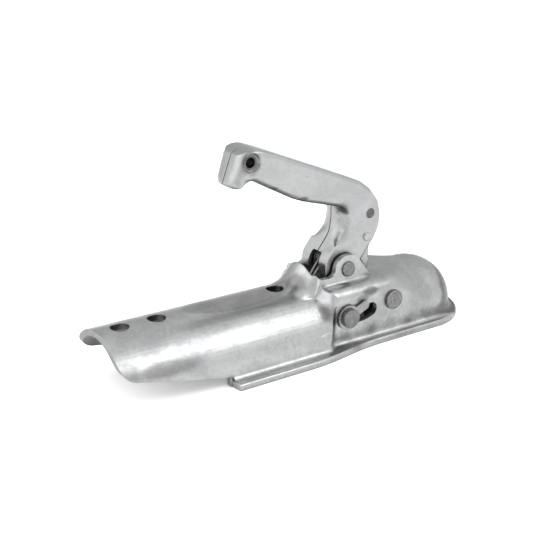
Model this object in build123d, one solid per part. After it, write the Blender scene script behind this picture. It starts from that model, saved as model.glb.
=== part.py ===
from build123d import *
import math
import os

# Clearances: turning pins, seated pins and moving neighbours
RUN_FIT = 0.05
STATIC_FIT = 0.02
SIDE_GAP = 0.4

# Ball and pressed sheet
BALL_R = 25.0
BALL_GAP = 0.75
SHEET = 4.0
DOME_R = BALL_R + BALL_GAP + SHEET

# Head: the box behind the dome, which holds the jaw and the lock
HEAD_RISE = 1.0
HEAD_TOP = DOME_R + HEAD_RISE
HEAD_CORNER = 7.5
BLEND_LENGTH = 40.0
BLEND_STEPS = 4
BLEND_ROUND = 0.9995
WALL_IN = DOME_R - SHEET

# Jaw pivot, behind the ball
JAW_SETBACK = 10.8
JAW_X = -(BALL_R + JAW_SETBACK)
JAW_Z = 16.5
JAW_RIVET_R = 4.0
JAW_HEAD_R = 6.5
JAW_HEAD_T = 3.0
JAW_COLLAR_R = 3.4
JAW_COLLAR_T = 0.8
JAW_SPACER_R = 5.2

# Jaw that grips the ball from behind; it swings back when the handle is lifted
JAW_HALF = 17.0
JAW_HUB_R = 7.5
JAW_BUSH_WALL = 1.6
JAW_BUSH_R = JAW_RIVET_R + JAW_BUSH_WALL
JAW_DROP = 22.3
JAW_TOE = 14.0
JAW_TOE_TOP = 8.2
JAW_TAIL = 5.2
JAW_HEEL = 13.8
JAW_HEEL_DROP = 9.5
JAW_ROUND = 2.0
JAW_SWING = 16.0
PAD_GAP = 0.4

# Handle pivot, over the head
PIVOT_SETBACK = 28.4
PIVOT_RISE = 8.75
PIVOT_X = JAW_X - PIVOT_SETBACK
PIVOT_Z = HEAD_TOP + PIVOT_RISE
PIVOT_PIN_R = 4.0
PIVOT_HEAD_R = 4.9
PIVOT_HEAD_T = 1.6
BUSH_WALL = 2.0
BUSH_R = PIVOT_PIN_R + BUSH_WALL
PIVOT_WASHER_R = 8.0

# Handle spring, wound round the pivot bush
WIRE_R = 0.9
COIL_GAP = 0.5
COIL_R = BUSH_R + WIRE_R + COIL_GAP
COIL_FROM = 2.4
COIL_TO = 8.8
COIL_TURNS = 3.2
SPRING_LEG = 22.0
SPRING_TAIL = 4.0
SPRING_TURN = 141.5

# Handle: one folded sheet
HANDLE_BACK = 1.4
HANDLE_LIFT = 1.0
HANDLE_HALF = 13.0
HANDLE_SHEET = 2.5
HANDLE_IN = HANDLE_HALF - HANDLE_SHEET
HANDLE_EDGE = 3.0
HANDLE_SEAM = 0.8
GRIP_FLAT = 5.0
GRIP_ROUND = HANDLE_HALF - GRIP_FLAT
GRIP_LEAN = 0.37
LEG_TOP = 46.0
LEG_BOTTOM = -6.0
BEAK_BOTTOM = -8.5
BEAK_SLOT_HIGH = 4.8
BEAK_SLOT_LOW = 6.5
BEAK_SLOT_TOP = 8.0
BEAK_SLOT_ROUND = 1.5
BEAK_SLOT_FRONT = -2.4
TONGUE_GAP = 1.5
TONGUE_HALF = HANDLE_IN - TONGUE_GAP
PLATE_TOP = 6.0
PLATE_REAR = -6.5
PLATE_FRONT = 9.0
PLATE_INSET = 0.6

# Side view of the handle, from its datum behind the pivot: x, z and corner radius
HANDLE_X = PIVOT_X - HANDLE_BACK
HANDLE_Z = PIVOT_Z + HANDLE_LIFT
GRIP_END_X = -80.4
GRIP_TOP = 85.9
GRIP_LOW = GRIP_TOP - 25.2
FRONT_LOW = (15.1, -2.0, 10.0)
BAR_OUTLINE = [
    (19.4, 50.7, 8.0),
    (30.6, 36.4, 14.0),
    (32.4, 20.5, 14.0),
    FRONT_LOW,
    (13.3, LEG_BOTTOM, 0.0),
    (-3.0, LEG_BOTTOM, 0.0),
    (3.5, 17.0, 12.0),
    (6.4, 36.2, 9.0),
    (-33.4, 47.7, 60.0),
    (GRIP_END_X + 12.5, GRIP_LOW + 5.8, 6.0),
    (GRIP_END_X + 7.5, GRIP_LOW - 0.2, 2.5),
    (GRIP_END_X, GRIP_LOW, 5.2),
    (GRIP_END_X + 1.8, GRIP_LOW + 11.8, 16.0),
    (GRIP_END_X + 9.4, GRIP_TOP, 14.0),
    (GRIP_END_X + 24.0, GRIP_TOP - 3.6, 40.0),
]
LEG_OUTLINE = [
    (-12.5, BEAK_BOTTOM, 0.0),
    (-12.3, 4.2, 10.0),
    (-0.6, 19.2, 14.0),
    (0.6, 29.0, 20.0),
    (0.4, LEG_TOP, 0.0),
    (16.0, LEG_TOP, 0.0),
    (20.0, 25.0, 12.0),
    (9.0, -2.0, 12.0),
    (8.0, BEAK_BOTTOM, 0.0),
]

# Slanted rear corners of the leg: height, then x and half width on the rear and on the side
LEG_CORNERS = [
    (10.5, -9.5, HANDLE_HALF + 0.1, -8.5, HANDLE_HALF + 1.1),
    (19.5, -0.9, HANDLE_HALF - 5.8, 3.2, HANDLE_HALF),
    (25.0, 0.3, HANDLE_HALF - 8.0, 5.6, HANDLE_HALF),
    (32.0, 0.3, HANDLE_HALF - 9.0, 7.0, HANDLE_HALF),
    (LEG_TOP + 1.0, 0.3, HANDLE_HALF - 9.0, 7.0, HANDLE_HALF),
]
LEG_CORNER_OVER = 0.4
SEAM_OUTLINE = [(-94.4, 98.5), (5.6, 37.5), (5.6, -40.5), (-94.4, -40.5)]
TONGUE_OUTLINE = [
    (13.0, 2.0),
    (18.5, 0.0),
    (22.4, -7.5),
    (24.4, -7.5),
    (24.9, 0.0),
    (25.0, 16.0),
    (13.0, 16.0),
]

# Details on the sides of the handle, from its datum
ELBOW_X = 22.2
ELBOW_Z = 30.7
ELBOW_RIVET_R = 3.2
ELBOW_PROUD = 0.3
ELBOW_SPACER_R = 4.5
EYELET_X = GRIP_END_X + 13.3
EYELET_Z = GRIP_TOP - 9.3
EYELET_R = 4.4
EYELET_BORE = 3.25
DISH_R = 6.2
DISH_FLOOR_R = 5.2
DISH_DEPTH = 1.2
PIPS = [(19.9, 15.6, 2.7, 0.8), (GRIP_END_X + 20.2, GRIP_TOP - 12.1, 1.8, 0.5)]
OVAL_X = 1.7
OVAL_IN = 3.9
OVAL_Z = 24.0
OVAL_TURN = 51.5
OVAL_WIDTH = 1.8
OVAL_HEIGHT = 3.0
OVAL_DEPTH = 0.8
HANDLE_SWING = 39.0

# Locking pin, carried by the legs of the handle and running in the slots of the head
LOCK_ARM = 28.0
LOCK_REST = -17.2
LOCK_PIN_R = 4.0
LOCK_HEAD_R = 6.1
LOCK_HEAD_T = 3.2
LOCK_FOOT_R = 6.8
LOCK_ROLLER_R = 6.5
LOCK_WASHER_R = 8.0
LOCK_WASHER_T = 1.5
LOCK_NOSE_R = 3.0
LOCK_NOSE_X = 12.5
LOCK_NOSE_Z = 5.6
LOCK_SEAT_GAP = 0.5
LOCK_X = PIVOT_X + LOCK_ARM * math.sin(math.radians(LOCK_REST))
LOCK_Z = PIVOT_Z - LOCK_ARM * math.cos(math.radians(LOCK_REST))
LOCK_SHUT = LOCK_REST + HANDLE_SWING
SHUT_X = PIVOT_X + LOCK_ARM * math.sin(math.radians(LOCK_SHUT))
SHUT_Z = PIVOT_Z - LOCK_ARM * math.cos(math.radians(LOCK_SHUT))
SLOT_PLAY = 0.7

# Ears and opening
EAR_GAP = 1.2
EAR_IN = HANDLE_HALF + EAR_GAP
EAR_OUT = EAR_IN + SHEET
EAR_R = 9.0
EAR_FLARE = 1.0
EAR_FRONT_TOP = 6.0
EAR_FRONT_FOOT = 18.2
EAR_RAMP = 5.0
EAR_RAMP_DROP = 6.0
RIM_REACH = 24.3
RIM_RISE = 3.3
RIM_X = PIVOT_X - RIM_REACH
RIM_Z = PIVOT_Z + RIM_RISE
RIM_DROP = 3.0
RIM_VALLEY = 3.7
RIM_LOW = PIVOT_Z - RIM_VALLEY
RIM_ROUND = 4.0
OPEN_TAPER = 16.6
OPEN_TAPER_X = PIVOT_X + OPEN_TAPER
OPEN_REACH = 28.2
OPEN_FRONT = PIVOT_X + OPEN_REACH
OPEN_TIP = 2.0
OPEN_ROUND = 3.0

# Neck and saddle for the drawbar tube
TUBE_R = 30.0
TUBE_Z = -4.1
SADDLE_R = TUBE_R + SHEET
RIDGE_Z = TUBE_Z + SADDLE_R
NECK_LENGTH = 7.0
NECK_AHEAD = 6.5
NECK_FRONT = RIM_X + NECK_AHEAD
NECK_REAR = NECK_FRONT - NECK_LENGTH
SADDLE_LENGTH = 140.5
SADDLE_REAR = NECK_REAR - SADDLE_LENGTH
HUMP_INSET = 0.8
HUMP_RUN = 15.5
HUMP_ANGLE = 50.0
HUMP_HALF = EAR_OUT - HUMP_INSET
HUMP_SHIFT = 0.45
HUMP_SINK = 0.6
HUMP_STEPS = 6
HUMP_OVERRUN = 1.4

# Holes for the drawbar bolts, measured from the rear end
BOLT_R = 5.5
BOLT_REAR = 14.6
BOLT_PITCH = 23.7
BOLT_FRONT = 121.7
BOLT_X = [SADDLE_REAR + BOLT_REAR, SADDLE_REAR + BOLT_REAR + BOLT_PITCH, SADDLE_REAR + BOLT_FRONT]

# Lip round the lower edge
LIP_BOTTOM = -9.3
LIP_FRONT = 5.75
LIP_REAR = 8.0
LIP_LENGTH = 70.4
LIP_SLANT = 2.0
LIP_EDGE = 1.6
LIP_NARROW_FROM = 18.5
LIP_NARROW_TO = 39.5
SKIRT_START = 5.8
SKIRT_RISE = 0.207
SKIRT_CORNER = 12.0
LIP_FILLET = 4.0
LIP_SINK = 0.5


def arch_face(x, half, top, corner, floor):
    """Upright section of the head: straight sides, round shoulders and a flat top."""
    flat = half - corner
    with BuildSketch(Plane.YZ.offset(x)) as section:
        with BuildLine():
            Line((-half, floor), (half, floor))
            Line((half, floor), (half, top - corner))
            CenterArc((flat, top - corner), corner, 0, 90)
            Line((flat, top), (-flat, top))
            CenterArc((-flat, top - corner), corner, 90, 90)
            Line((-half, top - corner), (-half, floor))
        make_face()
    return section.sketch


def side_prism(outline, half):
    """Solid of a side-view outline, as wide on both sides of the middle plane."""
    with BuildSketch(Plane.XZ) as profile:
        add(outline)
        make_face()
    return extrude(profile.sketch, amount=half, both=True)


def blend(rear, front, inset, floor):
    """Smooth stretch of the body between two sections, each given as x, half width, top and corner."""
    sections = []
    for step in range(BLEND_STEPS + 1):
        share = step / BLEND_STEPS
        ease = share * share * (3 - 2 * share)
        x = rear[0] + (front[0] - rear[0]) * share
        half, top, corner = (r + (f - r) * ease for r, f in zip(rear[1:], front[1:]))
        sections.append(arch_face(x, half - inset, top - inset, corner - inset, floor))
    return loft(sections)


def head_form(inset, floor):
    """Neck, box over the lock and the stretch where the box turns into the dome."""
    neck_rear = (NECK_REAR, SADDLE_R, RIDGE_Z, BLEND_ROUND * SADDLE_R)
    neck_front = (NECK_FRONT, DOME_R, HEAD_TOP, HEAD_CORNER)
    box_front = (-BLEND_LENGTH, DOME_R, HEAD_TOP, HEAD_CORNER)
    dome_back = (0, DOME_R, DOME_R, BLEND_ROUND * DOME_R)
    box_face = arch_face(NECK_FRONT, DOME_R - inset, HEAD_TOP - inset, HEAD_CORNER - inset, floor)
    box = extrude(box_face, amount=-BLEND_LENGTH - NECK_FRONT)
    return blend(neck_rear, neck_front, inset, floor) + box + blend(box_front, dome_back, inset, floor)


def dome_form(inset, floor):
    """Front half of the ball socket: half a ball on half a cylinder."""
    radius = DOME_R - inset
    corner = BLEND_ROUND * DOME_R - inset
    centre = radius - corner
    with BuildSketch(Plane(origin=(0, 0, 0), x_dir=(0, -1, 0), z_dir=(-1, 0, 0))) as section:
        with BuildLine():
            Line((0, floor), (radius, floor))
            Line((radius, floor), (radius, centre))
            CenterArc((centre, centre), corner, 0, 90)
            Line((centre, radius), (0, radius))
            Line((0, radius), (0, floor))
        make_face()
    return revolve(section.sketch, axis=Axis.Z, revolution_arc=180)


def saddle_form(inset, floor):
    """Half tunnel for the drawbar tube."""
    corner = BLEND_ROUND * SADDLE_R - inset
    rear = arch_face(SADDLE_REAR - inset, SADDLE_R - inset, RIDGE_Z - inset, corner, floor)
    return extrude(rear, amount=NECK_REAR - SADDLE_REAR + inset)


def hump_form(inset, floor):
    """Round hump that rises from the ridge of the saddle to the rim of the opening."""
    foot_z = RIDGE_Z - HUMP_SINK
    steepness = HUMP_RUN * math.tan(math.radians(HUMP_ANGLE)) / (RIM_Z - foot_z)
    sections = []
    for step in range(HUMP_STEPS + 1):
        share = HUMP_OVERRUN * step / HUMP_STEPS
        x = RIM_X + HUMP_RUN * (share - 1) + HUMP_SHIFT * inset
        top = foot_z + (RIM_Z - foot_z) * share**steepness
        half = HUMP_HALF - inset
        sections.append(arch_face(x, half, top - inset, BLEND_ROUND * half, floor))
    return loft(sections)


def ear_form(inset):
    """Block that the two ears are cut from, with a ramp behind it."""
    rear = RIM_X + RIM_DROP
    front = PIVOT_X + EAR_FRONT_FOOT
    high = PIVOT_Z + 2 * EAR_R
    outline = Polyline(
        (rear - EAR_RAMP, 0),
        (rear - EAR_RAMP, HEAD_TOP - EAR_RAMP_DROP),
        (rear, RIM_LOW),
        (rear, high),
        (front, high),
        (front, 0),
        close=True,
    )
    return side_prism(outline, EAR_OUT - inset)


def body_form(inset):
    """Whole body without its lip, shrunk by inset on every side and open below."""
    floor = LIP_BOTTOM - inset
    return (
        saddle_form(inset, floor)
        + head_form(inset, floor)
        + dome_form(inset, floor)
        + hump_form(inset, floor)
        + ear_form(inset)
    )


def lip_plate():
    """Flat lip that runs round the lower edge from the saddle to the front of the dome."""
    rear_half = SADDLE_R + LIP_REAR
    front_half = DOME_R + LIP_FRONT
    rear = NECK_REAR - LIP_LENGTH
    narrow_from = NECK_REAR - LIP_NARROW_FROM
    narrow_to = NECK_REAR + LIP_NARROW_TO
    with BuildSketch(Plane.XY.offset(LIP_BOTTOM)) as plan:
        with BuildLine():
            for side in (1, -1):
                Line((rear - LIP_SLANT, 0), (rear - LIP_SLANT, side * TUBE_R))
                Line((rear - LIP_SLANT, side * TUBE_R), (rear, side * rear_half))
                Line((rear, side * rear_half), (narrow_from, side * rear_half))
                Spline(
                    (narrow_from, side * rear_half), (narrow_to, side * front_half), tangents=[(1, 0), (1, 0)]
                )
                Line((narrow_to, side * front_half), (0, side * front_half))
            CenterArc((0, 0), front_half, -90, 180)
        make_face()
    plate = extrude(plan.sketch, amount=SHEET)
    rim = [e for e in plate.edges().group_by(Axis.Z)[-1] if e.center().X > rear]
    return fillet(rim, LIP_EDGE)


def lip_corner_face(x, wall):
    """Section of the hollow corner between a wall and the lip."""
    low = LIP_BOTTOM + SHEET - LIP_SINK
    edge = wall - LIP_SINK
    with BuildSketch(Plane.YZ.offset(x)) as section:
        with BuildLine():
            Line((edge, low), (wall + LIP_FILLET, low))
            Line((wall + LIP_FILLET, low), (wall + LIP_FILLET, low + LIP_SINK))
            CenterArc((wall + LIP_FILLET, low + LIP_SINK + LIP_FILLET), LIP_FILLET, 180, 90)
            Line((wall, low + LIP_SINK + LIP_FILLET), (edge, low + LIP_SINK + LIP_FILLET))
            Line((edge, low + LIP_SINK + LIP_FILLET), (edge, low))
        make_face()
    return section.sketch


def lip_corners():
    """Hollow corner between the lip and the walls of the saddle, the neck, the head and the dome."""
    saddle_rear = NECK_REAR - LIP_LENGTH
    saddle = extrude(lip_corner_face(saddle_rear, SADDLE_R), amount=LIP_LENGTH)
    head = extrude(lip_corner_face(NECK_FRONT, DOME_R), amount=-NECK_FRONT)
    neck_sections = []
    for step in range(BLEND_STEPS + 1):
        share = step / BLEND_STEPS
        ease = share * share * (3 - 2 * share)
        wall = SADDLE_R + (DOME_R - SADDLE_R) * ease
        neck_sections.append(lip_corner_face(NECK_REAR + NECK_LENGTH * share, wall))
    side = saddle + loft(neck_sections) + head
    front = revolve(lip_corner_face(0, DOME_R), axis=Axis.Z, revolution_arc=-180)
    return side + mirror(side, about=Plane.XZ) + front


def skirt_cut():
    """What is missing below the rising lower edge of the saddle."""
    far = SADDLE_R * 2
    start = NECK_REAR - LIP_LENGTH - LIP_SLANT
    start_z = LIP_BOTTOM + SKIRT_START
    rear_z = start_z + SKIRT_RISE * (start - SADDLE_REAR)
    outline = FilletPolyline(
        (SADDLE_REAR - far, -far),
        (start, -far),
        (start, start_z),
        (SADDLE_REAR, rear_z),
        (SADDLE_REAR, far),
        (SADDLE_REAR - far, far),
        radius=[0, 0, 0, SKIRT_CORNER, 0, 0],
        close=True,
    )
    return side_prism(outline, far)


def ear_cut():
    """What is missing above the rim of the opening and round the two ears."""
    high = PIVOT_Z + 3 * EAR_R
    ear_round = EAR_R * BLEND_ROUND
    outline = FilletPolyline(
        (RIM_X, high),
        (RIM_X, RIM_Z),
        (RIM_X + RIM_DROP, RIM_LOW),
        (PIVOT_X - EAR_R - EAR_FLARE, RIM_LOW),
        (PIVOT_X - EAR_R, PIVOT_Z + EAR_R),
        (PIVOT_X + EAR_FRONT_TOP, PIVOT_Z + EAR_R),
        (PIVOT_X + EAR_FRONT_FOOT, HEAD_TOP + EAR_FLARE),
        (OPEN_FRONT, HEAD_TOP + EAR_FLARE),
        (OPEN_FRONT, high),
        radius=[0, 0, RIM_ROUND, RIM_ROUND, ear_round, ear_round, 0, 0, 0],
        close=True,
    )
    return side_prism(outline, EAR_OUT + SHEET)


def opening_cut():
    """Opening in the top of the head for the handle, narrowing to the front."""
    corners = [
        (RIM_X, -EAR_IN),
        (OPEN_TAPER_X, -EAR_IN),
        (OPEN_FRONT, -OPEN_TIP),
        (OPEN_FRONT, OPEN_TIP),
        (OPEN_TAPER_X, EAR_IN),
        (RIM_X, EAR_IN),
    ]
    radii = [RIM_ROUND, OPEN_ROUND, OPEN_TIP, OPEN_TIP, OPEN_ROUND, RIM_ROUND]
    with BuildSketch(Plane.XY.offset(HEAD_TOP - 2 * SHEET)) as plan:
        with BuildLine():
            FilletPolyline(*corners, radius=radii, close=True)
        make_face()
    return extrude(plan.sketch, amount=PIVOT_Z)


def cross_hole(x, z, radius, half):
    """Round bar across the part, along Y."""
    return Pos(x, 0, z) * Rot(90, 0, 0) * Cylinder(radius, 2 * half)


def lock_point(angle, radius):
    """Point at a distance from the handle pivot, at an angle from straight down."""
    turn = math.radians(angle)
    return (PIVOT_X + radius * math.sin(turn), PIVOT_Z - radius * math.cos(turn))


def lock_slots():
    """Arc slots for the locking pin, in both walls of the head."""
    half = LOCK_PIN_R + SLOT_PLAY
    with BuildSketch(Plane.XZ) as profile:
        with BuildLine():
            CenterArc((PIVOT_X, PIVOT_Z), LOCK_ARM + half, LOCK_REST - 90, HANDLE_SWING)
            CenterArc((PIVOT_X, PIVOT_Z), LOCK_ARM - half, LOCK_REST - 90, HANDLE_SWING)
            CenterArc(lock_point(LOCK_REST, LOCK_ARM), half, LOCK_REST + 90, 180)
            CenterArc(lock_point(LOCK_SHUT, LOCK_ARM), half, LOCK_SHUT - 90, 180)
        make_face()
    return extrude(profile.sketch, amount=2 * DOME_R, both=True)


def coupling_body():
    """Pressed body: dome over the ball, head, neck with ears and saddle for the tube."""
    shell = body_form(0) + lip_plate() + lip_corners() - body_form(SHEET)
    shell -= [skirt_cut(), ear_cut(), opening_cut(), lock_slots()]
    shell -= cross_hole(JAW_X, JAW_Z, JAW_RIVET_R + STATIC_FIT, 2 * DOME_R)
    shell -= cross_hole(PIVOT_X, PIVOT_Z, PIVOT_PIN_R + STATIC_FIT, 2 * DOME_R)
    for x in BOLT_X:
        shell -= Pos(x, 0, RIDGE_Z) * Cylinder(BOLT_R, SADDLE_R)
    return shell


def round_bar(x, z, radius, low, high):
    """Round bar along Y between two distances from the middle plane."""
    return Pos(x, (low + high) / 2, z) * Rot(90, 0, 0) * Cylinder(radius, high - low)


def round_tube(x, z, outer, inner, low, high):
    """Round tube along Y between two distances from the middle plane."""
    return round_bar(x, z, outer, low, high) - round_bar(x, z, inner, low - SHEET, high + SHEET)


def from_datum(points):
    """Side-view points moved from the datum of the handle to the frame of the part."""
    return [(HANDLE_X + point[0], HANDLE_Z + point[1]) for point in points]


def handle_sketch(outline, inset):
    """Side view of a stretch of the handle, shrunk by inset."""
    with BuildSketch(Plane.XZ) as profile:
        with BuildLine():
            FilletPolyline(*from_datum(outline), radius=[point[2] for point in outline], close=True)
        make_face()
        if inset:
            offset(amount=-inset)
    return profile.sketch


def flank_edges(solid, half):
    """Edges of a side-view solid that lie on its two flanks."""
    return [edge for edge in solid.edges() if abs(abs(edge.center().Y) - half) < STATIC_FIT]


def bar_form(inset):
    """Arm and front of the handle, with a rounded grip end."""
    half = HANDLE_HALF - inset
    solid = extrude(handle_sketch(BAR_OUTLINE, inset), amount=half, both=True)
    if inset < HANDLE_SHEET:
        low = HANDLE_Z + LEG_BOTTOM + STATIC_FIT
        solid = fillet([e for e in flank_edges(solid, half) if e.center().Z > low], HANDLE_EDGE)
    reach = 3 * abs(GRIP_END_X)
    end = HANDLE_X + GRIP_END_X + inset - GRIP_LEAN * (HANDLE_Z + GRIP_LOW)
    with BuildSketch() as plan:
        with Locations((end + reach / 2, 0)):
            RectangleRounded(reach, 2 * half, GRIP_ROUND - inset)
    return solid & extrude(plan.sketch, amount=reach, dir=(GRIP_LEAN, 0, 1))


def leg_corner(inset):
    """What is missing at the left rear corner of the leg, where it narrows upward."""
    sections = []
    for z, rear_x, rear_half, side_x, side_half in LEG_CORNERS:
        over_x = LEG_CORNER_OVER * (side_x - rear_x)
        over_half = LEG_CORNER_OVER * (side_half - rear_half)
        inner = (rear_x - over_x + inset, rear_half - over_half - inset)
        outer = (side_x + over_x + inset, side_half + over_half - inset)
        with BuildSketch(Plane(origin=(HANDLE_X, 0, HANDLE_Z + z))) as section:
            with BuildLine():
                Polyline(inner, outer, (inner[0], outer[1]), close=True)
            make_face()
        sections.append(section.sketch)
    return loft(sections, ruled=True)


def leg_form(inset):
    """Rear of the leg, narrow under the arm and as wide as the handle at the beak."""
    solid = extrude(handle_sketch(LEG_OUTLINE, inset), amount=HANDLE_HALF - inset, both=True)
    corner = leg_corner(inset)
    return solid - corner - mirror(corner, about=Plane.XZ)


def beak_slot():
    """Slot in the rear of the beak, wider at its foot."""
    low = BEAK_BOTTOM - HANDLE_SHEET
    rear = Plane(origin=(HANDLE_X - 2 * HANDLE_HALF, 0, HANDLE_Z), x_dir=(0, 1, 0), z_dir=(1, 0, 0))
    with BuildSketch(rear) as profile:
        with BuildLine():
            FilletPolyline(
                (-BEAK_SLOT_LOW, low),
                (BEAK_SLOT_LOW, low),
                (BEAK_SLOT_HIGH, BEAK_SLOT_TOP),
                (-BEAK_SLOT_HIGH, BEAK_SLOT_TOP),
                radius=[0, 0, BEAK_SLOT_ROUND, BEAK_SLOT_ROUND],
                close=True,
            )
        make_face()
    return extrude(profile.sketch, amount=2 * HANDLE_HALF + BEAK_SLOT_FRONT)


def tongue():
    """Channel at the front of the leg that reaches down to the opening."""
    outline = Polyline(*from_datum(TONGUE_OUTLINE), close=True)
    inside = side_prism(outline, TONGUE_HALF - HANDLE_SHEET)
    return side_prism(outline, TONGUE_HALF) - Pos(-HANDLE_SHEET, 0, 0) * inside


def oval_recess(side):
    """Pressed oval on a slanted corner of the leg."""
    turn = math.radians(OVAL_TURN)
    across = (math.cos(turn), side * math.sin(turn), 0)
    inward = (math.sin(turn), -side * math.cos(turn), 0)
    centre = (HANDLE_X + OVAL_X, side * (HANDLE_HALF - OVAL_IN), HANDLE_Z + OVAL_Z)
    with BuildSketch(Plane(origin=centre, x_dir=across, z_dir=inward)) as oval:
        Ellipse(OVAL_WIDTH, OVAL_HEIGHT)
    return extrude(oval.sketch, amount=OVAL_DEPTH, both=True)


def leg_plates():
    """The two plates that carry the pivot bush and the locking pin."""
    front = (FRONT_LOW[0] - HANDLE_EDGE - PLATE_INSET, FRONT_LOW[1])
    upper = [(PLATE_REAR, PLATE_TOP), (PLATE_FRONT, PLATE_TOP), front]
    with BuildSketch(Plane.XZ) as profile:
        with BuildLine():
            Polyline(*from_datum(upper), close=True)
        make_face()
        with Locations((LOCK_X, LOCK_Z)):
            Circle(LOCK_FOOT_R)
        make_hull()
    plates = extrude(profile.sketch, amount=HANDLE_HALF, both=True)
    return plates - extrude(profile.sketch, amount=HANDLE_IN, both=True)


def handle_shell():
    """Folded handle: grip, arm and elbow as a closed box, two leg plates below."""
    shell = bar_form(0) + leg_form(0) - (bar_form(HANDLE_SHEET) + leg_form(HANDLE_SHEET))
    below = HANDLE_Z + LEG_BOTTOM + HANDLE_SHEET - HANDLE_HALF
    shell -= Pos(HANDLE_X, 0, below) * Box(4 * HANDLE_HALF, 2 * HANDLE_IN, 2 * HANDLE_HALF)
    shell -= side_prism(Polyline(*from_datum(SEAM_OUTLINE), close=True), HANDLE_SEAM / 2)
    shell -= beak_slot()
    shell += leg_plates()
    shell += tongue()
    for side in (1, -1):
        face = side * HANDLE_HALF
        for x, z, radius, height in PIPS:
            pip = Pos(HANDLE_X + x, face, HANDLE_Z + z) * Rot(90, 0, 0) * Cylinder(radius, 2 * height)
            shell += pip
        dish = Plane(origin=(HANDLE_X + EYELET_X, face, HANDLE_Z + EYELET_Z), z_dir=(0, -side, 0))
        shell -= dish * Pos(0, 0, DISH_DEPTH / 2) * Cone(DISH_R, DISH_FLOOR_R, DISH_DEPTH)
        shell -= oval_recess(side)
    shell -= cross_hole(PIVOT_X, PIVOT_Z, BUSH_R + STATIC_FIT, 2 * HANDLE_HALF)
    shell -= cross_hole(LOCK_X, LOCK_Z, LOCK_PIN_R + STATIC_FIT, 2 * HANDLE_HALF)
    shell -= cross_hole(HANDLE_X + ELBOW_X, HANDLE_Z + ELBOW_Z, ELBOW_RIVET_R + STATIC_FIT, 2 * HANDLE_HALF)
    shell -= cross_hole(HANDLE_X + EYELET_X, HANDLE_Z + EYELET_Z, EYELET_R + STATIC_FIT, 2 * HANDLE_HALF)
    return shell


def handle_pivot_pin():
    """Pin through the two ears, headed over on both sides."""
    end = EAR_OUT + PIVOT_HEAD_T
    pin = round_bar(PIVOT_X, PIVOT_Z, PIVOT_PIN_R, -end, end)
    for side in (1, -1):
        low, high = sorted((side * EAR_OUT, side * end))
        pin += round_bar(PIVOT_X, PIVOT_Z, PIVOT_HEAD_R, low, high)
    return pin


def pivot_washer(side):
    """Washer between an ear and the handle."""
    low, high = sorted((side * (HANDLE_HALF + SIDE_GAP), side * EAR_IN))
    return round_tube(PIVOT_X, PIVOT_Z, PIVOT_WASHER_R, PIVOT_PIN_R + STATIC_FIT, low, high)


def pivot_bush():
    """Bush fixed in the handle, turning on the pivot pin."""
    return round_tube(PIVOT_X, PIVOT_Z, BUSH_R, PIVOT_PIN_R + RUN_FIT, -HANDLE_HALF, HANDLE_HALF)


def elbow_rivet():
    """Rivet through the elbow of the handle."""
    end = HANDLE_HALF + ELBOW_PROUD
    return round_bar(HANDLE_X + ELBOW_X, HANDLE_Z + ELBOW_Z, ELBOW_RIVET_R, -end, end)


def elbow_spacer():
    """Spacer tube between the walls of the elbow."""
    inner = ELBOW_RIVET_R + STATIC_FIT
    return round_tube(HANDLE_X + ELBOW_X, HANDLE_Z + ELBOW_Z, ELBOW_SPACER_R, inner, -HANDLE_IN, HANDLE_IN)


def grip_eyelet():
    """Eyelet through the grip for a padlock."""
    end = HANDLE_HALF - DISH_DEPTH
    return round_tube(HANDLE_X + EYELET_X, HANDLE_Z + EYELET_Z, EYELET_R, EYELET_BORE, -end, end)


def locking_pin():
    """Pin carried by the leg plates, running in the slots and headed outside the head."""
    shoulder = DOME_R + SIDE_GAP + LOCK_WASHER_T
    end = shoulder + LOCK_HEAD_T
    pin = round_bar(LOCK_X, LOCK_Z, LOCK_PIN_R, -shoulder, shoulder)
    for side in (1, -1):
        low, high = sorted((side * shoulder, side * end))
        pin += round_bar(LOCK_X, LOCK_Z, LOCK_HEAD_R, low, high)
    return pin


def locking_washer(side):
    """Washer with a nose that covers the slot while the handle is up."""
    low, high = sorted((side * (DOME_R + SIDE_GAP), side * (DOME_R + SIDE_GAP + LOCK_WASHER_T)))
    nose_angle = math.degrees(math.atan2(LOCK_NOSE_Z, LOCK_NOSE_X))
    with BuildSketch(Plane(origin=(LOCK_X, high, LOCK_Z), x_dir=(1, 0, 0), z_dir=(0, -1, 0))) as plan:
        with Locations(Location((LOCK_NOSE_X / 2, LOCK_NOSE_Z / 2), nose_angle)):
            SlotCenterToCenter(math.hypot(LOCK_NOSE_X, LOCK_NOSE_Z), 2 * LOCK_NOSE_R)
        Circle(LOCK_WASHER_R)
        Circle(LOCK_PIN_R + STATIC_FIT, mode=Mode.SUBTRACT)
    return extrude(plan.sketch, amount=high - low)


def locking_roller():
    """Roller on the locking pin between the leg plates; it bears on the jaw."""
    return round_tube(LOCK_X, LOCK_Z, LOCK_ROLLER_R, LOCK_PIN_R + STATIC_FIT, -HANDLE_IN, HANDLE_IN)


def locking_spacer(side):
    """Spacer on the locking pin between a leg plate and the wall of the head."""
    low, high = sorted((side * HANDLE_HALF, side * (WALL_IN - SIDE_GAP)))
    return round_tube(LOCK_X, LOCK_Z, LOCK_ROLLER_R, LOCK_PIN_R + STATIC_FIT, low, high)


def jaw_rivet():
    """Rivet the jaw hangs on, headed over outside both walls, with a turned collar."""
    head = DOME_R + JAW_HEAD_T - JAW_COLLAR_T
    end = DOME_R + JAW_HEAD_T
    rivet = round_bar(JAW_X, JAW_Z, JAW_RIVET_R, -head, head)
    for side in (1, -1):
        low, high = sorted((side * DOME_R, side * head))
        rivet += round_bar(JAW_X, JAW_Z, JAW_HEAD_R, low, high)
        low, high = sorted((side * head, side * end))
        rivet += round_bar(JAW_X, JAW_Z, JAW_COLLAR_R, low, high)
    return rivet


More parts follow.
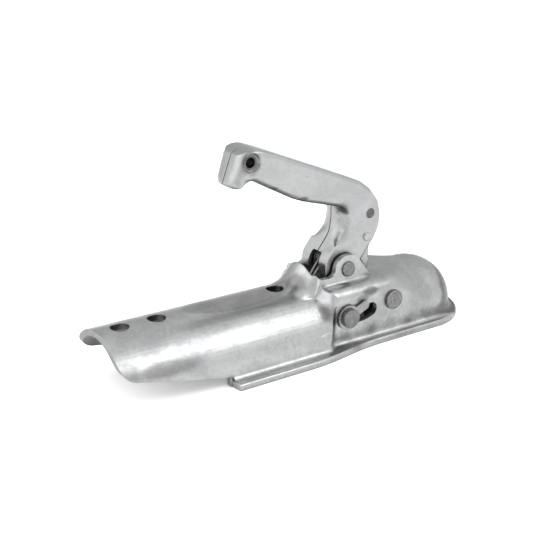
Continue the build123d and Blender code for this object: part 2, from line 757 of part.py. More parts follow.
def jaw_spacer(side):
    """Spacer on the jaw rivet between the jaw and the wall of the head."""
    low, high = sorted((side * (JAW_HALF + SIDE_GAP), side * WALL_IN))
    return round_tube(JAW_X, JAW_Z, JAW_SPACER_R, JAW_RIVET_R + STATIC_FIT, low, high)


def jaw_bush():
    """Bush fixed in the jaw, turning on the jaw rivet."""
    return round_tube(JAW_X, JAW_Z, JAW_BUSH_R, JAW_RIVET_R + RUN_FIT, -JAW_HALF, JAW_HALF)


def ball_clamp_jaw():
    """Jaw with a hollow pad for the ball, swung back from the ball."""
    outline = [
        (JAW_HUB_R - JAW_ROUND, 0.0),
        (JAW_TOE, -JAW_TOE_TOP),
        (JAW_TOE, -JAW_DROP),
        (-JAW_TAIL, -JAW_DROP),
        (-JAW_HEEL, -JAW_HEEL_DROP),
        (-JAW_HUB_R, 0.0),
    ]
    points = [(JAW_X + x, JAW_Z + z) for x, z in outline]
    radii = [0, 0, 0, JAW_ROUND, JAW_ROUND, 0]
    jaw = side_prism(FilletPolyline(*points, radius=radii, close=True), JAW_HALF)
    jaw += cross_hole(JAW_X, JAW_Z, JAW_HUB_R, JAW_HALF)
    jaw -= Sphere(BALL_R + PAD_GAP)
    jaw -= cross_hole(SHUT_X, SHUT_Z, LOCK_FOOT_R + LOCK_SEAT_GAP, 2 * JAW_HALF)
    jaw -= cross_hole(JAW_X, JAW_Z, JAW_BUSH_R + STATIC_FIT, 2 * JAW_HALF)
    return Pos(JAW_X, 0, JAW_Z) * Rot(0, JAW_SWING, 0) * Pos(-JAW_X, 0, -JAW_Z) * jaw


def spring_half():
    """One coil of the handle spring with its leg, its tail and half of the loop."""
    pitch = (COIL_TO - COIL_FROM) / COIL_TURNS
    coil = Helix(pitch, COIL_TO - COIL_FROM, COIL_R)
    leg_end = coil @ 0 - (coil % 0) * SPRING_LEG
    tail_end = coil @ 1 + (coil % 1) * SPRING_TAIL
    path = Wire([Line(leg_end, coil @ 0).edge(), coil.edge(), Line(coil @ 1, tail_end).edge()])
    wire = sweep(Plane(origin=leg_end, z_dir=coil % 0) * Circle(WIRE_R), path=path, is_frenet=True)
    depth = COIL_FROM + leg_end.Z
    loop = Pos(leg_end.X, leg_end.Y, leg_end.Z - depth / 2) * Cylinder(WIRE_R, depth)
    half = wire + Pos(leg_end) * Sphere(WIRE_R) + loop
    return Pos(PIVOT_X, COIL_FROM, PIVOT_Z) * Rot(0, -SPRING_TURN, 0) * Rot(-90, 0, 0) * half


def handle_spring():
    """Double torsion spring: two coils joined by a loop that rests behind the handle."""
    half = spring_half()
    return half + mirror(half, about=Plane.XZ)


def write(node, shape):
    export_step(shape, os.path.join("parts", node + ".step"))


if __name__ == "__main__":
    os.makedirs("parts", exist_ok=True)
    write("coupling_body", coupling_body())
    write("handle_shell", handle_shell())
    write("handle_pivot_pin", handle_pivot_pin())
    write("pivot_bush", pivot_bush())
    write("elbow_rivet", elbow_rivet())
    write("elbow_spacer", elbow_spacer())
    write("grip_eyelet", grip_eyelet())
    write("locking_pin", locking_pin())
    write("locking_roller", locking_roller())
    write("jaw_rivet", jaw_rivet())
    write("jaw_bush", jaw_bush())
    write("ball_clamp_jaw", ball_clamp_jaw())
    write("handle_spring", handle_spring())
    for name, side in (("left", 1), ("right", -1)):
        write("pivot_washer_" + name, pivot_washer(side))
        write("locking_washer_" + name, locking_washer(side))
        write("locking_spacer_" + name, locking_spacer(side))
        write("jaw_spacer_" + name, jaw_spacer(side))
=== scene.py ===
import math
import bmesh
import bpy
import numpy as np
from mathutils import Matrix, Vector, kdtree


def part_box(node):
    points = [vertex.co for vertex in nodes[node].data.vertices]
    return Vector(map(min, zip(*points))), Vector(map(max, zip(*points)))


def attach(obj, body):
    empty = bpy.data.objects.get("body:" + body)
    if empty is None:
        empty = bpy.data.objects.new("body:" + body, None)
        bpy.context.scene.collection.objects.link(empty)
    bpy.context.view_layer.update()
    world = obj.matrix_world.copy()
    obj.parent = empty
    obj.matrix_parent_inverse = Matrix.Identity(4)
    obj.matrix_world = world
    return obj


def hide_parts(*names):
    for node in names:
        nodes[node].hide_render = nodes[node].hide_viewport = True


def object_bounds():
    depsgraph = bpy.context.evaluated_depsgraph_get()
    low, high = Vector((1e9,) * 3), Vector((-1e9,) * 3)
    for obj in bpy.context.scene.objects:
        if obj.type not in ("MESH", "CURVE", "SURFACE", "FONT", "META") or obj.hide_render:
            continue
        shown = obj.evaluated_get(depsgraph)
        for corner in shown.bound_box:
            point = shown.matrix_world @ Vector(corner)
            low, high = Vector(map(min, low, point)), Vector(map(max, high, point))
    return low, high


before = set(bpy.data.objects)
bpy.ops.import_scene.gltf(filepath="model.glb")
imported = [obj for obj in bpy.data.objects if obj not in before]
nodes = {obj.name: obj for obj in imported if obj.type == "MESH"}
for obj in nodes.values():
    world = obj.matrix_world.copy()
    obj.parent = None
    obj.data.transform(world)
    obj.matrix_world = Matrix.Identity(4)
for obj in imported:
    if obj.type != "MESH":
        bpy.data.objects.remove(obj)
cad_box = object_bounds()

# camera: where the photograph was taken from, in metres
EYE = (-0.4460, -0.5029, 0.2740)
CAM_RIGHT = (0.8339, -0.5519, 0.0)
CAM_UP = (0.1960, 0.2961, 0.9347)
CAM_BACK = (-0.5159, -0.7795, 0.3551)
LENS = 70.2
SENSOR = 36.0
CLIP_NEAR = 0.01
CLIP_FAR = 50.0

# floor: a plain pale plane just below the part
FLOOR_HALF = 12.0
FLOOR_GAP = 0.0002
FLOOR_LIGHT = 0.93
FLOOR_DARK = 0.90
FLOOR_ROUGH = 0.7
FLOOR_GLOW = 0.26

# studio: soft light that rises towards the key's direction, a brighter rear side and one lamp
KEY_WAY = (0.42, -0.62, 0.66)
KEY_FROM = -0.15
SKY_LOW = 0.76
SKY_HIGH = 1.55
SIDE_WAY = (-0.80, 0.25, 0.55)
SIDE_FROM = 0.62
SIDE_HIGH = 2.0
STRIP_PLACE = (0.30, -0.60, 0.75)
STRIP_AIM = (-0.06, 0.0, 0.03)
STRIP_SIZE = 0.35
STRIP_POWER = 2.5

# pressed forms: mesh sizes in metres, fold angles in degrees
MERGE = 2e-6
COARSE = 0.008
FINE = 0.0013
REFINE_ROUNDS = 9
SMALL_FOLD = 6.0
HARD_FOLD = 75.0
SHADE_FOLD = 35.0
RIM_KEEP = 0.0022
PULL = 0.5

# neck of the body: where its folds are rounded, over which reach and in how many rounds
NECK_X = (-0.114, -0.036)
NECK_LOW = 0.006
NECK_HALF = 0.036
NECK_FOLDS = (-110.0, -7.0)
NECK_RIM = 40.0
NECK_UPWARD = -0.3
NECK_REACH = 0.0075
NECK_ROUNDS = 60

# handle: where its folds are rounded, and the places (x, z, reach) that keep their form or are soft all over
HANDLE_LOW = 0.034
HANDLE_REACH = 0.0060
HANDLE_ROUNDS = 50
SEAM_HALF = 0.001
EYELET = (-0.1327, 0.1171, 0.0095)
HANDLE_DETAILS = [EYELET, (-0.1258, 0.1143, 0.0035), (-0.0457, 0.0561, 0.0045), (-0.0434, 0.0712, 0.0050)]
GRIP_FRONT = -0.118
GRIP_LOW = 0.092
OVAL = (-0.0639, 0.0645, 0.0050)
OVAL_Y = (0.004, 0.012)

# ends of the pins, from the middle out: share of the head's radius and depth below the end, in metres
TURN_STEPS = 72
JAW_RIVET = [
    (0.0, 0.0007), (0.10, 0.00065), (0.20, 0.0003), (0.27, 0.00005), (0.33, 0.0), (0.46, 0.0),
    (0.51, 0.00015), (0.53, 0.0007), (0.56, 0.0010), (0.62, 0.0010), (0.66, 0.0008), (0.86, 0.0008),
    (0.95, 0.0010), (0.99, 0.0014), (1.0, 0.0018), (1.0, 0.0030), (0.615, 0.0030),
]
LOCKING_PIN = [
    (0.0, 0.0003), (0.14, 0.00025), (0.24, 0.00005), (0.34, 0.0), (0.84, 0.0), (0.93, 0.0002),
    (0.98, 0.0005), (1.0, 0.0009), (1.0, 0.0032), (0.656, 0.0032),
]
PIVOT_PIN = [
    (0.0, 0.00025), (0.45, 0.0002), (0.62, 0.0), (0.80, 0.0), (0.91, 0.0002), (0.97, 0.0005),
    (1.0, 0.0009), (1.0, 0.0016), (0.816, 0.0016),
]
ELBOW_RIVET = [
    (0.0, 0.0004), (0.20, 0.00035), (0.42, 0.0001), (0.58, 0.0), (0.84, 0.00005), (0.95, 0.0002),
    (1.0, 0.0004),
]
TURNED_PINS = {
    "jaw_rivet": ("body", JAW_RIVET),
    "handle_pivot_pin": ("body", PIVOT_PIN),
    "locking_pin": ("handle", LOCKING_PIN),
    "elbow_rivet": ("handle", ELBOW_RIVET),
}
PIN_NODES = [
    "jaw_rivet", "handle_pivot_pin", "locking_pin", "elbow_rivet", "jaw_spacer_left", "jaw_spacer_right",
    "pivot_bush", "elbow_spacer", "grip_eyelet", "locking_roller", "locking_spacer_left",
    "locking_spacer_right", "jaw_bush",
]
# pins given darker steel; on the eyelet this is painted shade from its dish
DARK_PINS = ["elbow_rivet", "grip_eyelet"]

# greys of the metals: light and dark parts of each
BODY_TONES = (0.37, 0.30)
HANDLE_TONES = (0.335, 0.300)
# washer greys set darker, painting the shade on their rings round the pins
SHADED_WASHER_TONES = (0.27, 0.20)
PIN_TONES = (0.19, 0.13)
DARK_PIN_TONES = (0.12, 0.08)
SPRING_TONES = (0.20, 0.11)
JAW_TONES = (0.17, 0.10)
ZINC_TINT = 0.008
BRIGHTEST = 0.9

# surface of the metals: roughness, brightness of worn edges and direction of the handle's streaks in radians
PRESSED_MATTE = 0.05
SPRING_ROUGH = 0.36
JAW_ROUGH = 0.45
PIN_WEAR = 0.40
DARK_PIN_WEAR = 0.10
HANDLE_STREAK_TURN = 0.25

# radius that softens the shading of edges, reach of the painted shade in corners and size of the patches'
# wobble
PRESSED_EDGE = 0.0008
WASHER_EDGE = 0.0004
CORNER_REACH = 0.009
PATCH_GRAIN = 90.0
BEVEL_SAMPLES = 6
CORNER_SAMPLES = 8

# greys of dirt and painted shade in patches, of painted shade in deep corners and holes, and of painted
# shade on undersides
DIRT_AND_SHADE_GREY = 0.07
HOLLOW_SHADE = 0.05
SHADE = 0.09

# where a measure of the surface turns from none to full
CORNER_SPAN = (0.72, 0.28)
UNDER_SPAN = (-0.05, -0.35)
EDGE_SPAN = (0.995, 0.90)
CLOUD_SPAN = (0.35, 0.65)
GRAIN_SPAN = (0.3, 0.7)

# darker patches on the body, partly dirt and partly painted shade: centre, reach along each axis and
# strength, in metres
BODY_DIRT_AND_SHADE = [
    ((-0.200, -0.0300, 0.0115), (0.030, 0.008, 0.0060), 0.48),
    ((-0.224, -0.0280, 0.0150), (0.010, 0.008, 0.0080), 0.35),
    ((-0.096, -0.0060, 0.0340), (0.010, 0.011, 0.0070), 0.60),
    ((-0.089, -0.0280, 0.0190), (0.007, 0.007, 0.0090), 0.70),
    # painted shade at the step where the saddle narrows into the head
    ((-0.084, -0.0300, 0.0120), (0.0034, 0.005, 0.0130), 0.75),
    ((-0.054, -0.0298, 0.0262), (0.0080, 0.004, 0.0045), 0.70),
    ((-0.061, -0.0298, 0.0225), (0.0075, 0.003, 0.0030), 0.55),
    ((-0.076, -0.0340, -0.0060), (0.018, 0.006, 0.0035), 0.50),
    ((-0.030, -0.0340, -0.0070), (0.040, 0.004, 0.0020), 0.35),
    ((-0.010, 0.0000, 0.0180), (0.085, 0.050, 0.0420), 0.22),
]

# painted shade on the body, with crisp edges: in the bolt holes, inside the saddle and on its rear edge, and
# a band of painted dark reflection on its ridge
BODY_PAINTED_SHADE = [
    ((-0.2149, 0.0, 0.0270), (0.0061, 0.0061, 0.0300), 0.95),
    ((-0.1912, 0.0, 0.0270), (0.0061, 0.0061, 0.0300), 0.95),
    ((-0.1078, 0.0, 0.0270), (0.0061, 0.0061, 0.0300), 0.95),
    ((-0.1600, 0.0, -0.0041), (9.0, 0.0312, 0.0312), 0.80),
    ((-0.2310, 0.0, 0.0), (0.0019, 9.0, 9.0), 0.50),
    ((-0.1350, 0.0, 0.0300), (0.0400, 0.0125, 0.0200), 0.28),
]

# darker patches on the handle: painted shade in the dish round its eyelet, and darker marks on the lower
# edge of its arm and on its leg
HANDLE_DIRT_AND_SHADE = [
    # painted shade in the dish round the eyelet
    ((-0.1327, -0.0125, 0.1171), (0.0085, 0.004, 0.0085), 0.85),
    ((-0.0957, -0.0110, 0.0889), (0.0050, 0.006, 0.0024), 0.85),
    ((-0.1170, -0.0110, 0.0991), (0.0045, 0.006, 0.0020), 0.80),
    ((-0.0700, -0.0090, 0.0500), (0.0050, 0.006, 0.0050), 0.30),
]


def grey(level, tint=0.0):
    """A neutral grey, a little bluer where tint is above 0."""
    return (level * (1 - tint), level, level * (1 + tint), 1.0)


class Tree:
    """A node tree with short calls to make and join nodes."""

    def __init__(self, tree):
        self.tree = tree

    def add(self, kind):
        return self.tree.nodes.new("ShaderNode" + kind)

    def put(self, socket, value):
        if isinstance(value, bpy.types.NodeSocket):
            self.tree.links.new(value, socket)
        else:
            socket.default_value = value

    def math(self, kind, a, b=0.0):
        node = self.add("Math")
        node.operation = kind
        self.put(node.inputs[0], a)
        self.put(node.inputs[1], b)
        return node.outputs[0]

    def vector(self, kind, a, b=(0.0, 0.0, 0.0), out="Vector"):
        node = self.add("VectorMath")
        node.operation = kind
        self.put(node.inputs[0], a)
        self.put(node.inputs[1], b)
        return node.outputs[out]

    def length(self, a):
        return self.vector("LENGTH", a, out="Value")

    def dot(self, a, b):
        return self.vector("DOT_PRODUCT", a, b, out="Value")

    def span(self, value, lo, hi, out_lo=0.0, out_hi=1.0, smooth=True):
        """Takes lo to out_lo and hi to out_hi, and stays level beyond them."""
        node = self.add("MapRange")
        node.interpolation_type = "SMOOTHSTEP" if smooth else "LINEAR"
        self.put(node.inputs["Value"], value)
        self.put(node.inputs["From Min"], lo)
        self.put(node.inputs["From Max"], hi)
        self.put(node.inputs["To Min"], out_lo)
        self.put(node.inputs["To Max"], out_hi)
        return node.outputs[0]


class Shader(Tree):
    """A material with one principled shader."""

    def __init__(self, name, metallic=1.0):
        self.mat = bpy.data.materials.new(name)
        self.mat.use_nodes = True
        super().__init__(self.mat.node_tree)
        self.tree.nodes.clear()
        out = self.add("OutputMaterial")
        self.bsdf = self.add("BsdfPrincipled")
        self.put(out.inputs["Surface"], self.bsdf.outputs["BSDF"])
        self.set("Metallic", metallic)
        self.where = self.add("TexCoord").outputs["Object"]

    def set(self, name, value):
        self.put(self.bsdf.inputs[name], value)

    def stretched(self, scale, turn):
        node = self.add("Mapping")
        self.put(node.inputs["Vector"], self.where)
        self.put(node.inputs["Rotation"], turn)
        self.put(node.inputs["Scale"], scale)
        return node.outputs[0]

    def noise(self, vector, scale, detail=4.0, rough=0.55, twist=0.0):
        node = self.add("TexNoise")
        self.put(node.inputs["Vector"], vector)
        self.put(node.inputs["Scale"], scale)
        self.put(node.inputs["Detail"], detail)
        self.put(node.inputs["Roughness"], rough)
        self.put(node.inputs["Distortion"], twist)
        return node.outputs["Fac"]

    def mix(self, share, a, b):
        node = self.add("Mix")
        node.data_type = "RGBA"
        self.put(node.inputs["Factor"], share)
        self.put(node.inputs["A"], a)
        self.put(node.inputs["B"], b)
        return node.outputs["Result"]

    def cover(self, colour, mask, weight, over):
        """Lays a grey over a colour where the mask says so."""
        return self.mix(self.math("MULTIPLY", mask, weight), colour, grey(over))

    def blob(self, centre, radii, ragged, core):
        """1 in the core of a patch, 0 outside it."""
        offset = self.vector("SUBTRACT", self.where, centre)
        reach = self.length(self.vector("DIVIDE", offset, radii))
        wobble = self.math("MULTIPLY", self.noise(self.where, PATCH_GRAIN), ragged * 2)
        return self.span(self.math("ADD", reach, wobble), 1.0 + ragged, core + ragged)

    def bevel(self, radius):
        node = self.add("Bevel")
        node.samples = BEVEL_SAMPLES
        self.put(node.inputs["Radius"], radius)
        return node.outputs[0]

    def relief(self, height, strength, depth, soften):
        """Fine relief over edges that are softened by a small radius."""
        node = self.add("Bump")
        self.put(node.inputs["Strength"], strength)
        self.put(node.inputs["Distance"], depth)
        self.put(node.inputs["Height"], height)
        self.put(node.inputs["Normal"], self.bevel(soften))
        self.set("Normal", node.outputs[0])

    def corners(self):
        """1 deep in corners and holes, where shade is painted; 0 on open surface."""
        node = self.add("AmbientOcclusion")
        node.samples = CORNER_SAMPLES
        self.put(node.inputs["Distance"], CORNER_REACH)
        return self.span(node.outputs["AO"], *CORNER_SPAN)

    def underside(self):
        """1 on surfaces that face down, 0 on all others."""
        split = self.add("SeparateXYZ")
        self.put(split.inputs[0], self.add("TexCoord").outputs["Normal"])
        return self.span(split.outputs["Z"], *UNDER_SPAN)

    def edges(self, radius):
        """1 on worn edges, 0 on open surface."""
        true = self.add("NewGeometry").outputs["Normal"]
        return self.span(self.dot(self.bevel(radius), true), *EDGE_SPAN)


def zinc(name, tones, soften, matte=0.0, streak_turn=0.0, dirt_and_shade=(), shade_patches=()):
    """Bright zinc plating: cloudy, drawn along X, with specks, patches of dirt and painted shade, painted
    shade in corners, holes and on undersides, and worn edges.
    """
    light, dark = tones
    s = Shader(name)
    along = s.stretched((0.06, 1.0, 1.0), (0.0, streak_turn, 0.0))
    across = s.stretched((0.03, 1.0, 1.0), (0.0, streak_turn, 0.1))
    streaks = s.noise(along, scale=900.0, detail=3.0, rough=0.6)
    scratches = s.noise(across, scale=2600.0, detail=2.0, rough=0.5)
    clouds = s.noise(s.where, scale=60.0, detail=6.0, rough=0.62, twist=0.5)
    spangle = s.noise(s.where, scale=420.0, detail=4.0, rough=0.65)
    flecks = s.noise(s.where, scale=520.0, detail=2.0, rough=0.5)
    tone = s.math("ADD", s.math("MULTIPLY", clouds, 0.65), s.math("MULTIPLY", spangle, 0.35))
    colour = s.mix(s.span(tone, 0.38, 0.60), grey(dark, ZINC_TINT), grey(light, ZINC_TINT))
    colour = s.mix(s.span(streaks, 0.60, 0.78, out_hi=0.30), colour, grey(dark * 0.75))
    colour = s.mix(s.span(scratches, 0.66, 0.74, out_hi=0.35), colour, grey(min(light * 1.35, BRIGHTEST)))
    colour = s.mix(s.span(flecks, 0.745, 0.775, out_hi=0.75), colour, grey(DIRT_AND_SHADE_GREY))
    # darker patches: dirt and painted shade, with ragged edges
    for centre, radii, weight in dirt_and_shade:
        colour = s.cover(colour, s.blob(centre, radii, ragged=0.35, core=0.45), weight, DIRT_AND_SHADE_GREY)
    # painted shade in crisp patches
    for centre, radii, weight in shade_patches:
        colour = s.cover(colour, s.blob(centre, radii, ragged=0.05, core=0.93), weight, HOLLOW_SHADE)
    # painted shade in corners and holes
    colour = s.cover(colour, s.corners(), 0.85, HOLLOW_SHADE)
    # painted shade on undersides
    colour = s.cover(colour, s.underside(), 0.70, SHADE)
    colour = s.cover(colour, s.edges(0.0008), 0.30, min(light * 1.3, BRIGHTEST))
    s.set("Base Color", colour)
    rough = s.span(tone, *CLOUD_SPAN, 0.36 + matte, 0.24 + matte, smooth=False)
    uneven = s.math("MULTIPLY", s.math("SUBTRACT", streaks, 0.5), 0.20)
    s.set("Roughness", s.math("ADD", rough, uneven))
    height = s.math("ADD", s.math("MULTIPLY", scratches, 0.45), s.math("MULTIPLY", spangle, 0.55))
    s.relief(height, strength=0.12, depth=0.0004, soften=soften)
    return s.mat


def turned_steel(name, tones, wear, axis_at):
    """Dull steel of a pin turned or headed about an axis along Y."""
    light, dark = tones
    s = Shader(name)
    clouds = s.noise(s.where, scale=300.0, detail=4.0, rough=0.6)
    grain = s.noise(s.where, scale=1500.0, detail=3.0, rough=0.6)
    offset = s.vector("SUBTRACT", s.where, axis_at)
    reach = s.length(s.vector("MULTIPLY", offset, (1.0, 0.0, 1.0)))
    rings = s.math("SINE", s.math("MULTIPLY", reach, 9000.0))
    colour = s.mix(s.span(clouds, *CLOUD_SPAN), grey(dark), grey(light))
    s.set("Base Color", s.cover(colour, s.edges(0.0006), wear, 0.75))
    s.set("Roughness", s.span(clouds, *GRAIN_SPAN, 0.34, 0.5))
    height = s.math("ADD", s.math("MULTIPLY", rings, 0.25), grain)
    s.relief(height, strength=0.25, depth=0.0002, soften=0.0004)
    return s.mat


def dark_steel(name, tones, rough):
    """Drawn wire or a forging, dark and even."""
    light, dark = tones
    s = Shader(name)
    clouds = s.noise(s.where, scale=120.0, detail=5.0, rough=0.6)
    grain = s.noise(s.where, scale=1100.0, detail=4.0, rough=0.6)
    colour = s.mix(s.span(clouds, *CLOUD_SPAN), grey(dark), grey(light))
    s.set("Base Color", s.cover(colour, s.edges(0.0008), 0.5, 0.55))
    s.set("Roughness", s.span(grain, *GRAIN_SPAN, rough - 0.07, rough + 0.07))
    s.relief(grain, strength=0.25, depth=0.0003, soften=0.0006)
    return s.mat


def middle_of(edge):
    """The point halfway along an edge."""
    return (edge.verts[0].co + edge.verts[1].co) / 2


def is_near(place, spot):
    """Says whether a place lies within a spot (x, z, reach), seen from the side."""
    x, z, reach = spot
    return math.hypot(place.x - x, place.z - z) < reach


def fold(edge):
    """Angle of an edge in degrees: above 0 where it stands out, below 0 where it is hollow."""
    if len(edge.link_faces) != 2:
        return 180.0
    return math.degrees(edge.calc_face_angle_signed(0.0))


def in_neck(place):
    """The neck of the body, with its hump and the feet of its ears."""
    in_length = NECK_X[0] < place.x < NECK_X[1]
    return in_length and place.z > NECK_LOW and abs(place.y) < NECK_HALF


def neck_fold(edge):
    """Hollow folds on the outside of the body, round its hump and ears."""
    if not in_neck(middle_of(edge)) or not NECK_FOLDS[0] < fold(edge) < NECK_FOLDS[1]:
        return False
    return all(face.normal.z > NECK_UPWARD for face in edge.link_faces)


def neck_rim(edge):
    """The body's sharp edges, apart from the hollow folds that are rounded."""
    return (fold(edge) > NECK_RIM or fold(edge) < -HARD_FOLD) and not neck_fold(edge)


def in_handle(place):
    """All of the handle above its foot."""
    return place.z > HANDLE_LOW


def in_grip(place):
    """The end of the grip, beside its seam and round its eyelet."""
    if is_near(place, EYELET):
        return False
    return place.x < GRIP_FRONT and place.z > GRIP_LOW and abs(place.y) > SEAM_HALF


def in_oval(place):
    """The pressed oval on the corner of the leg."""
    return is_near(place, OVAL) and OVAL_Y[0] < abs(place.y) < OVAL_Y[1]


def handle_fold(edge):
    """Folds of the handle away from its details and seam, and all of its soft places."""
    middle = middle_of(edge)
    if in_grip(middle) or in_oval(middle):
        return True
    if not in_handle(middle) or not SMALL_FOLD < abs(fold(edge)) < HARD_FOLD or abs(middle.y) < SEAM_HALF:
        return False
    return not any(is_near(middle, spot) for spot in HANDLE_DETAILS)


def handle_rim(edge):
    """The handle's sharp edges outside its soft places, and the folds of its details."""
    middle = middle_of(edge)
    if abs(fold(edge)) > HARD_FOLD:
        return not in_grip(middle) and not in_oval(middle)
    if abs(fold(edge)) < SMALL_FOLD:
        return False
    return any(is_near(middle, spot) for spot in HANDLE_DETAILS)


def refine(bm, reach, inside):
    """Splits the edges longer than reach wherever inside says so."""
    for _ in range(REFINE_ROUNDS):
        wide = [e for e in bm.edges if e.calc_length() > reach and inside(middle_of(e))]
        if not wide:
            return
        bmesh.ops.subdivide_edges(bm, edges=wide, cuts=1)
        bmesh.ops.triangulate(bm, faces=[f for f in bm.faces if len(f.verts) > 3])


def search_tree(edges):
    """A search tree of the edges' middles."""
    tree = kdtree.KDTree(len(edges))
    for index, edge in enumerate(edges):
        tree.insert(middle_of(edge), index)
    tree.balance()
    return tree


def ease(value):
    """0 to 1 with soft ends."""
    value = min(1.0, max(0.0, value))
    return value * value * (3.0 - 2.0 * value)


def smooth_folds(bm, is_fold, is_rim, reach, rounds):
    """Rounds off the chosen folds of a mesh over a reach to both sides, and keeps its rims."""
    bm.verts.index_update()
    places = np.array([v.co for v in bm.verts])
    starts, ends = np.array([[v.index for v in e.verts] for e in bm.edges]).T
    chosen = [e for e in bm.edges if is_fold(e)]
    folds = search_tree(chosen)
    rims = search_tree([e for e in bm.edges if is_rim(e)])
    spots = np.array([v.co for e in chosen for v in e.verts])
    low = spots.min(axis=0) - reach
    high = spots.max(axis=0) + reach
    close = np.all((places > low) & (places < high), axis=1)
    share = np.zeros(len(places))
    for v in bm.verts:
        if close[v.index]:
            share[v.index] = ease(1.0 - folds.find(v.co)[2] / reach)
            share[v.index] *= ease((rims.find(v.co)[2] - FINE / 2) / RIM_KEEP)
    count = np.zeros(len(places))
    np.add.at(count, starts, 1)
    np.add.at(count, ends, 1)
    for _ in range(rounds):
        total = np.zeros_like(places)
        np.add.at(total, starts, places[ends])
        np.add.at(total, ends, places[starts])
        places += PULL * share[:, None] * (total / count[:, None] - places)
    for v in bm.verts:
        v.co = places[v.index]


def stand_in(bm, name, node, body, mat):
    """Makes a piece of a mesh, which rides on a body and stands for a CAD node."""
    for face in bm.faces:
        face.smooth = True
        face.material_index = 0
    for edge in bm.edges:
        edge.smooth = abs(fold(edge)) < SHADE_FOLD
    mesh = bpy.data.meshes.new(name)
    bm.to_mesh(mesh)
    bm.free()
    mesh.materials.append(mat)
    piece = bpy.data.objects.new(name, mesh)
    bpy.context.scene.collection.objects.link(piece)
    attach(piece, body)
    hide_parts(node)


def formed(node, body, mat, inside, is_fold, is_rim, reach, rounds):
    """A copy of a node with its folds pressed round, which stands for the node."""
    bm = bmesh.new()
    bm.from_mesh(nodes[node].data)
    bmesh.ops.remove_doubles(bm, verts=bm.verts, dist=MERGE)
    refine(bm, COARSE, lambda place: True)
    refine(bm, FINE, inside)
    smooth_folds(bm, is_fold, is_rim, reach, rounds)
    stand_in(bm, node + "_formed", node, body, mat)


def ring_of(bm, centre, radius, y):
    """A ring of points about Y, or one point where the radius is 0."""
    if radius == 0.0:
        return [bm.verts.new((centre.x, y, centre.z))]
    turns = [2 * math.pi * step / TURN_STEPS for step in range(TURN_STEPS)]
    return [bm.verts.new((centre.x + radius * math.cos(turn), y, centre.z + radius * math.sin(turn)))
            for turn in turns]


def turned(node, body, profile, mat):
    """A pin turned about Y with the same end on both sides, which stands for a node."""
    low, high = (Vector(corner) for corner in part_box(node))
    radius = (high.x - low.x) / 2
    centre = (low + high) / 2
    half = [(share * radius, high.y - depth) for share, depth in profile]
    half.append((half[-1][0], centre.y))
    outline = half + [(r, 2 * centre.y - y) for r, y in reversed(half[:-1])]
    bm = bmesh.new()
    rings = [ring_of(bm, centre, r, y) for r, y in outline]
    for first, second in zip(rings, rings[1:]):
        for step in range(TURN_STEPS):
            after = (step + 1) % TURN_STEPS
            corners = [first[step % len(first)], first[after % len(first)],
                       second[after % len(second)], second[step % len(second)]]
            bm.faces.new(list(dict.fromkeys(corners)))
    bmesh.ops.recalc_face_normals(bm, faces=bm.faces)
    stand_in(bm, node + "_turned", node, body, mat)


def paint(name, mat):
    """Gives a CAD node its material."""
    mesh = nodes[name].data
    mesh.materials.clear()
    mesh.materials.append(mat)


def camera():
    """The photograph's view."""
    data = bpy.data.cameras.new("camera")
    data.lens = LENS
    data.sensor_width = SENSOR
    data.clip_start = CLIP_NEAR
    data.clip_end = CLIP_FAR
    cam = bpy.data.objects.new("camera", data)
    bpy.context.scene.collection.objects.link(cam)
    turn = Matrix((CAM_RIGHT, CAM_UP, CAM_BACK)).transposed().to_4x4()
    cam.matrix_world = Matrix.Translation(EYE) @ turn
    bpy.context.scene.camera = cam


def floor():
    """A pale, faintly glowing plane under the part."""
    bpy.ops.mesh.primitive_plane_add(size=2 * FLOOR_HALF)
    plane = bpy.context.object
    plane.name = "floor"
    plane.location = (0.0, 0.0, cad_box[0][2] - FLOOR_GAP)
    s = Shader("floor_white", metallic=0.0)
    tone = s.noise(s.where, scale=3.0, detail=2.0)
    s.set("Base Color", s.mix(tone, grey(FLOOR_DARK), grey(FLOOR_LIGHT)))
    s.set("Roughness", FLOOR_ROUGH)
    s.set("Emission Color", grey(1.0))
    s.set("Emission Strength", FLOOR_GLOW)
    plane.data.materials.append(s.mat)


def strip_lamp():
    """One small square lamp, above the near front."""
    data = bpy.data.lights.new("strip", "AREA")
    data.shape = "SQUARE"
    data.size = STRIP_SIZE
    data.energy = STRIP_POWER
    lamp = bpy.data.objects.new("strip", data)
    lamp.location = STRIP_PLACE
    lamp.rotation_mode = "QUATERNION"
    lamp.rotation_quaternion = (Vector(STRIP_AIM) - lamp.location).to_track_quat("-Z", "Y")
    bpy.context.scene.collection.objects.link(lamp)


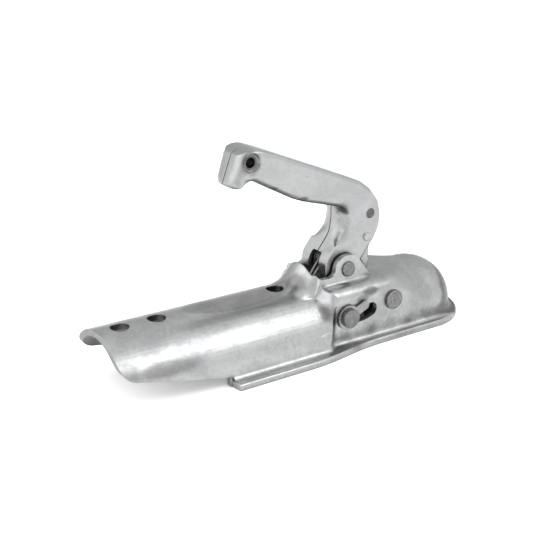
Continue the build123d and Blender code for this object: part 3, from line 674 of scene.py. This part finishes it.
def studio():
    """Soft light all round, brightest from the near front above and the far rear, and one small lamp."""
    world = bpy.data.worlds.new("studio")
    world.use_nodes = True
    bpy.context.scene.world = world
    sky = Tree(world.node_tree)
    way = sky.add("TexCoord").outputs["Generated"]
    key = sky.span(sky.dot(way, KEY_WAY), KEY_FROM, 1.0, SKY_LOW, SKY_HIGH, smooth=False)
    side = sky.span(sky.dot(way, SIDE_WAY), SIDE_FROM, 1.0, out_hi=SIDE_HIGH)
    back = world.node_tree.nodes["Background"]
    sky.put(back.inputs["Color"], grey(1.0))
    sky.put(back.inputs["Strength"], sky.math("ADD", key, side))
    strip_lamp()
    bpy.context.scene.view_settings.view_transform = "Standard"


camera()
floor()
studio()

body_zinc = zinc("zinc_body", BODY_TONES, PRESSED_EDGE, PRESSED_MATTE,
                 dirt_and_shade=BODY_DIRT_AND_SHADE, shade_patches=BODY_PAINTED_SHADE)
handle_zinc = zinc("zinc_handle", HANDLE_TONES, PRESSED_EDGE, PRESSED_MATTE,
                   streak_turn=HANDLE_STREAK_TURN, dirt_and_shade=HANDLE_DIRT_AND_SHADE)
# washer zinc, darkened as painted shade round the pins
washer_zinc = zinc("zinc_washer", SHADED_WASHER_TONES, WASHER_EDGE)

paint("coupling_body", body_zinc)
paint("handle_shell", handle_zinc)
for washer in ("pivot_washer_left", "pivot_washer_right", "locking_washer_left", "locking_washer_right"):
    paint(washer, washer_zinc)
paint("handle_spring", dark_steel("spring_wire", SPRING_TONES, SPRING_ROUGH))
paint("ball_clamp_jaw", dark_steel("jaw_steel", JAW_TONES, JAW_ROUGH))

formed("coupling_body", "body", body_zinc,
       in_neck, neck_fold, neck_rim, NECK_REACH, NECK_ROUNDS)
formed("handle_shell", "handle", handle_zinc,
       in_handle, handle_fold, handle_rim, HANDLE_REACH, HANDLE_ROUNDS)

for pin in PIN_NODES:
    low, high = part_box(pin)
    axis_at = ((low[0] + high[0]) / 2, 0.0, (low[2] + high[2]) / 2)
    # darker steel on some pins, painted shade on the eyelet in its dish
    tones, wear = (DARK_PIN_TONES, DARK_PIN_WEAR) if pin in DARK_PINS else (PIN_TONES, PIN_WEAR)
    pin_steel = turned_steel("pin_steel_" + pin, tones, wear, axis_at)
    paint(pin, pin_steel)
    if pin in TURNED_PINS:
        pin_body, profile = TURNED_PINS[pin]
        turned(pin, pin_body, profile, pin_steel)
